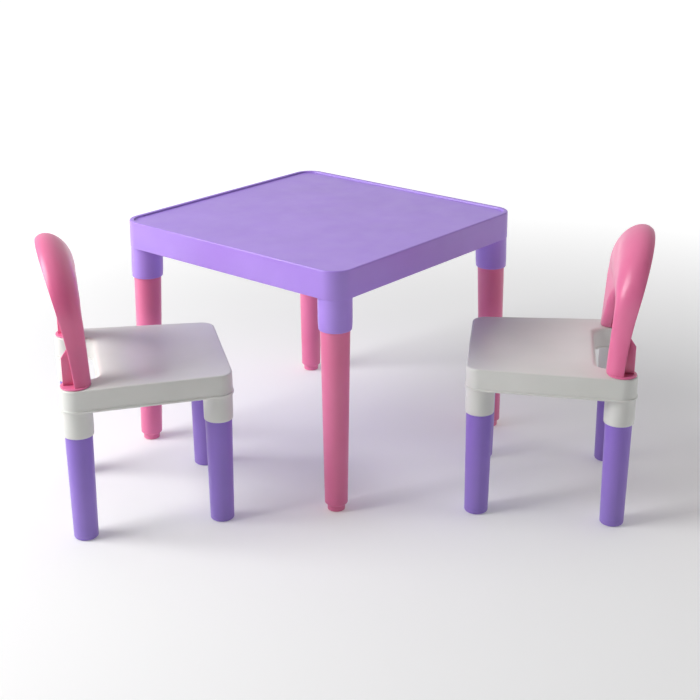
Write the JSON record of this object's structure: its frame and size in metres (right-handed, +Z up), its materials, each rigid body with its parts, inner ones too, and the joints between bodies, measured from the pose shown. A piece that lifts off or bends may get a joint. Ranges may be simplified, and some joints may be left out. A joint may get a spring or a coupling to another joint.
{
  "type": "children's table and chairs",
  "caption": "Small square children's table with chairs, all moulded plastic: plug-in tubular legs, dished seats with a cut-out behind, and two-pronged lift-out backrests.",
  "frame": {"origin": "on the floor, below the centre of the whole set's bounding box", "axes": "+Z is up, out of the tabletop; X and Y run along the table's sides"},
  "size_m": [0.8388, 0.8794, 0.4667],
  "materials": {
    "lavender_plastic": "moulded lavender polypropylene with a satin shine",
    "purple_plastic": "moulded purple polypropylene with a satin shine",
    "pink_plastic": "moulded pink polypropylene with a satin shine",
    "off_white_plastic": "moulded off-white polypropylene with a satin shine"
  },
  "bodies": {
    "table": {"table_top": "lavender_plastic", "table_leg_back_right": "pink_plastic", "table_leg_back_left": "pink_plastic", "table_leg_front_left": "pink_plastic", "table_leg_front_right": "pink_plastic"},
    "left_chair": {"left_seat": "off_white_plastic", "left_leg_front_left": "purple_plastic", "left_leg_front_right": "purple_plastic", "left_leg_rear_left": "purple_plastic", "left_leg_rear_right": "purple_plastic"},
    "left_backrest": {"left_backrest": "pink_plastic"},
    "right_chair": {"right_seat": "off_white_plastic", "right_leg_front_left": "purple_plastic", "right_leg_front_right": "purple_plastic", "right_leg_rear_left": "purple_plastic", "right_leg_rear_right": "purple_plastic"},
    "right_backrest": {"right_backrest": "pink_plastic"}
  },
  "joints": [
    {"name": "left_chair_slide", "type": "slide", "parent": "table", "child": "left_chair", "axis": [0.7955, -0.606, 0], "range_m": [-0.3, 0.13]},
    {"name": "left_backrest_lift", "type": "slide", "parent": "left_chair", "child": "left_backrest", "axis": [0, 0, 1], "range_m": [0, 0.06]},
    {"name": "right_chair_slide", "type": "slide", "parent": "table", "child": "right_chair", "axis": [-0.5329, 0.8462, 0], "range_m": [-0.3, 0.16]},
    {"name": "right_backrest_lift", "type": "slide", "parent": "right_chair", "child": "right_backrest", "axis": [0, 0, 1], "range_m": [0, 0.06]}
  ]
}
